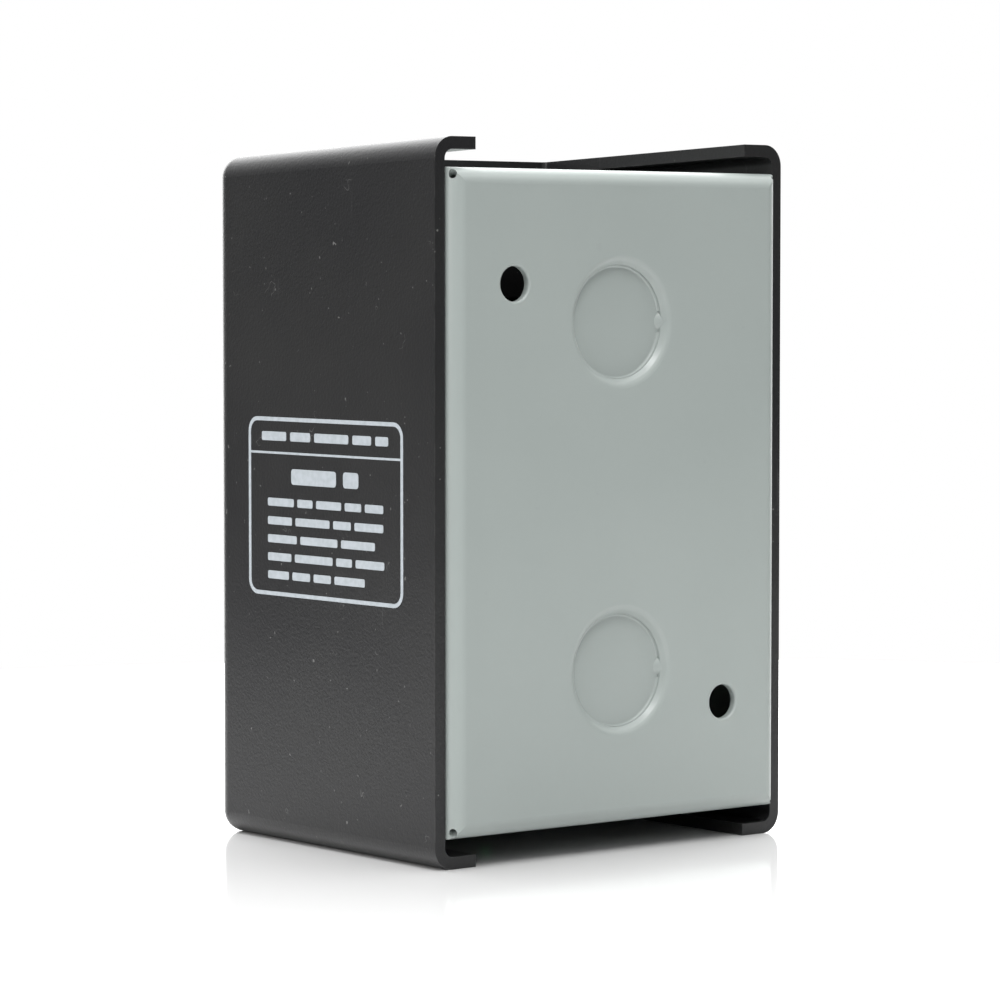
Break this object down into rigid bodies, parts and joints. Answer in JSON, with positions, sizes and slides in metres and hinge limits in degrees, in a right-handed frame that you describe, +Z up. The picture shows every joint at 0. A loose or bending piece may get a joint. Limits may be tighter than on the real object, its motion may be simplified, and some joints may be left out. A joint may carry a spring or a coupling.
{
  "type": "ac disconnect box",
  "caption": "Upright steel enclosure with a flat mounting pan, a wrap-around cover open at top and bottom, and a front toggle that isolates a supply.",
  "frame": {"origin": "centre of the back pan's rear face, the face that meets the wall", "axes": "+Y out of the back into the wall, so the front faces -Y; +Z up"},
  "size_m": [0.088, 0.0945, 0.139],
  "materials": {
    "pan_paint": "light grey-green semi-gloss enamel",
    "cover_paint": "black fine-texture powder coat",
    "ground_green": "green dyed finish on steel",
    "zinc_steel": "bright zinc plate",
    "strap_steel": "zinc plated strip",
    "clamp_steel": "zinc plated stamping",
    "rivet_steel": "plated rivet",
    "spring_steel": "polished wire",
    "rivet_brass": "nickel-free brass rivet",
    "terminal_brass": "bright brass strip",
    "contact_silver": "silver contact face",
    "contact_copper": "copper bar",
    "phenolic": "moulded phenolic",
    "carriage_plastic": "glass-filled moulding",
    "lever_plastic": "moulded lever"
  },
  "bodies": {
    "box": {"back_pan": "pan_paint", "rear_knockouts": "pan_paint", "conduit_knockouts": "pan_paint", "ground_screw": "ground_green", "mounting_strap": "strap_steel", "strap_screws": "zinc_steel", "strap_rivets": "rivet_steel", "switch_base": "phenolic", "switch_housing": "phenolic", "block_rivets": "rivet_brass", "line_terminals": "terminal_brass", "load_terminals": "terminal_brass", "clamp_plates": "clamp_steel", "terminal_screws": "zinc_steel", "fixed_contact_tips": "contact_silver", "pivot_pin": "zinc_steel", "detent_ball": "spring_steel", "detent_spring": "spring_steel"},
    "toggle": {"toggle_lever": "lever_plastic"},
    "carriage": {"contact_carriage": "carriage_plastic", "moving_contacts": "contact_copper", "moving_contact_tips": "contact_silver", "contact_springs": "spring_steel"},
    "cover_assembly": {"cover": "cover_paint", "cover_screws": "zinc_steel", "padlock_guard": "zinc_steel", "guard_rivets": "rivet_steel"}
  },
  "joints": [
    {"name": "toggle_throw", "type": "hinge", "parent": "box", "child": "toggle", "pos_m": [0, -0.063, 0], "axis": [-1, 0, 0], "range_deg": [0, 26]},
    {"name": "contact_stroke", "type": "slide", "parent": "box", "child": "carriage", "axis": [0, 1, 0], "range_m": [0, 0.0054]},
    {"name": "cover_removal", "type": "slide", "parent": "box", "child": "cover_assembly", "axis": [0, -1, 0], "range_m": [0, 0.095]}
  ],
  "couplings": [
    {"joint": "toggle_throw", "follows": "contact_stroke", "rad_per_m": 84.05}
  ]
}
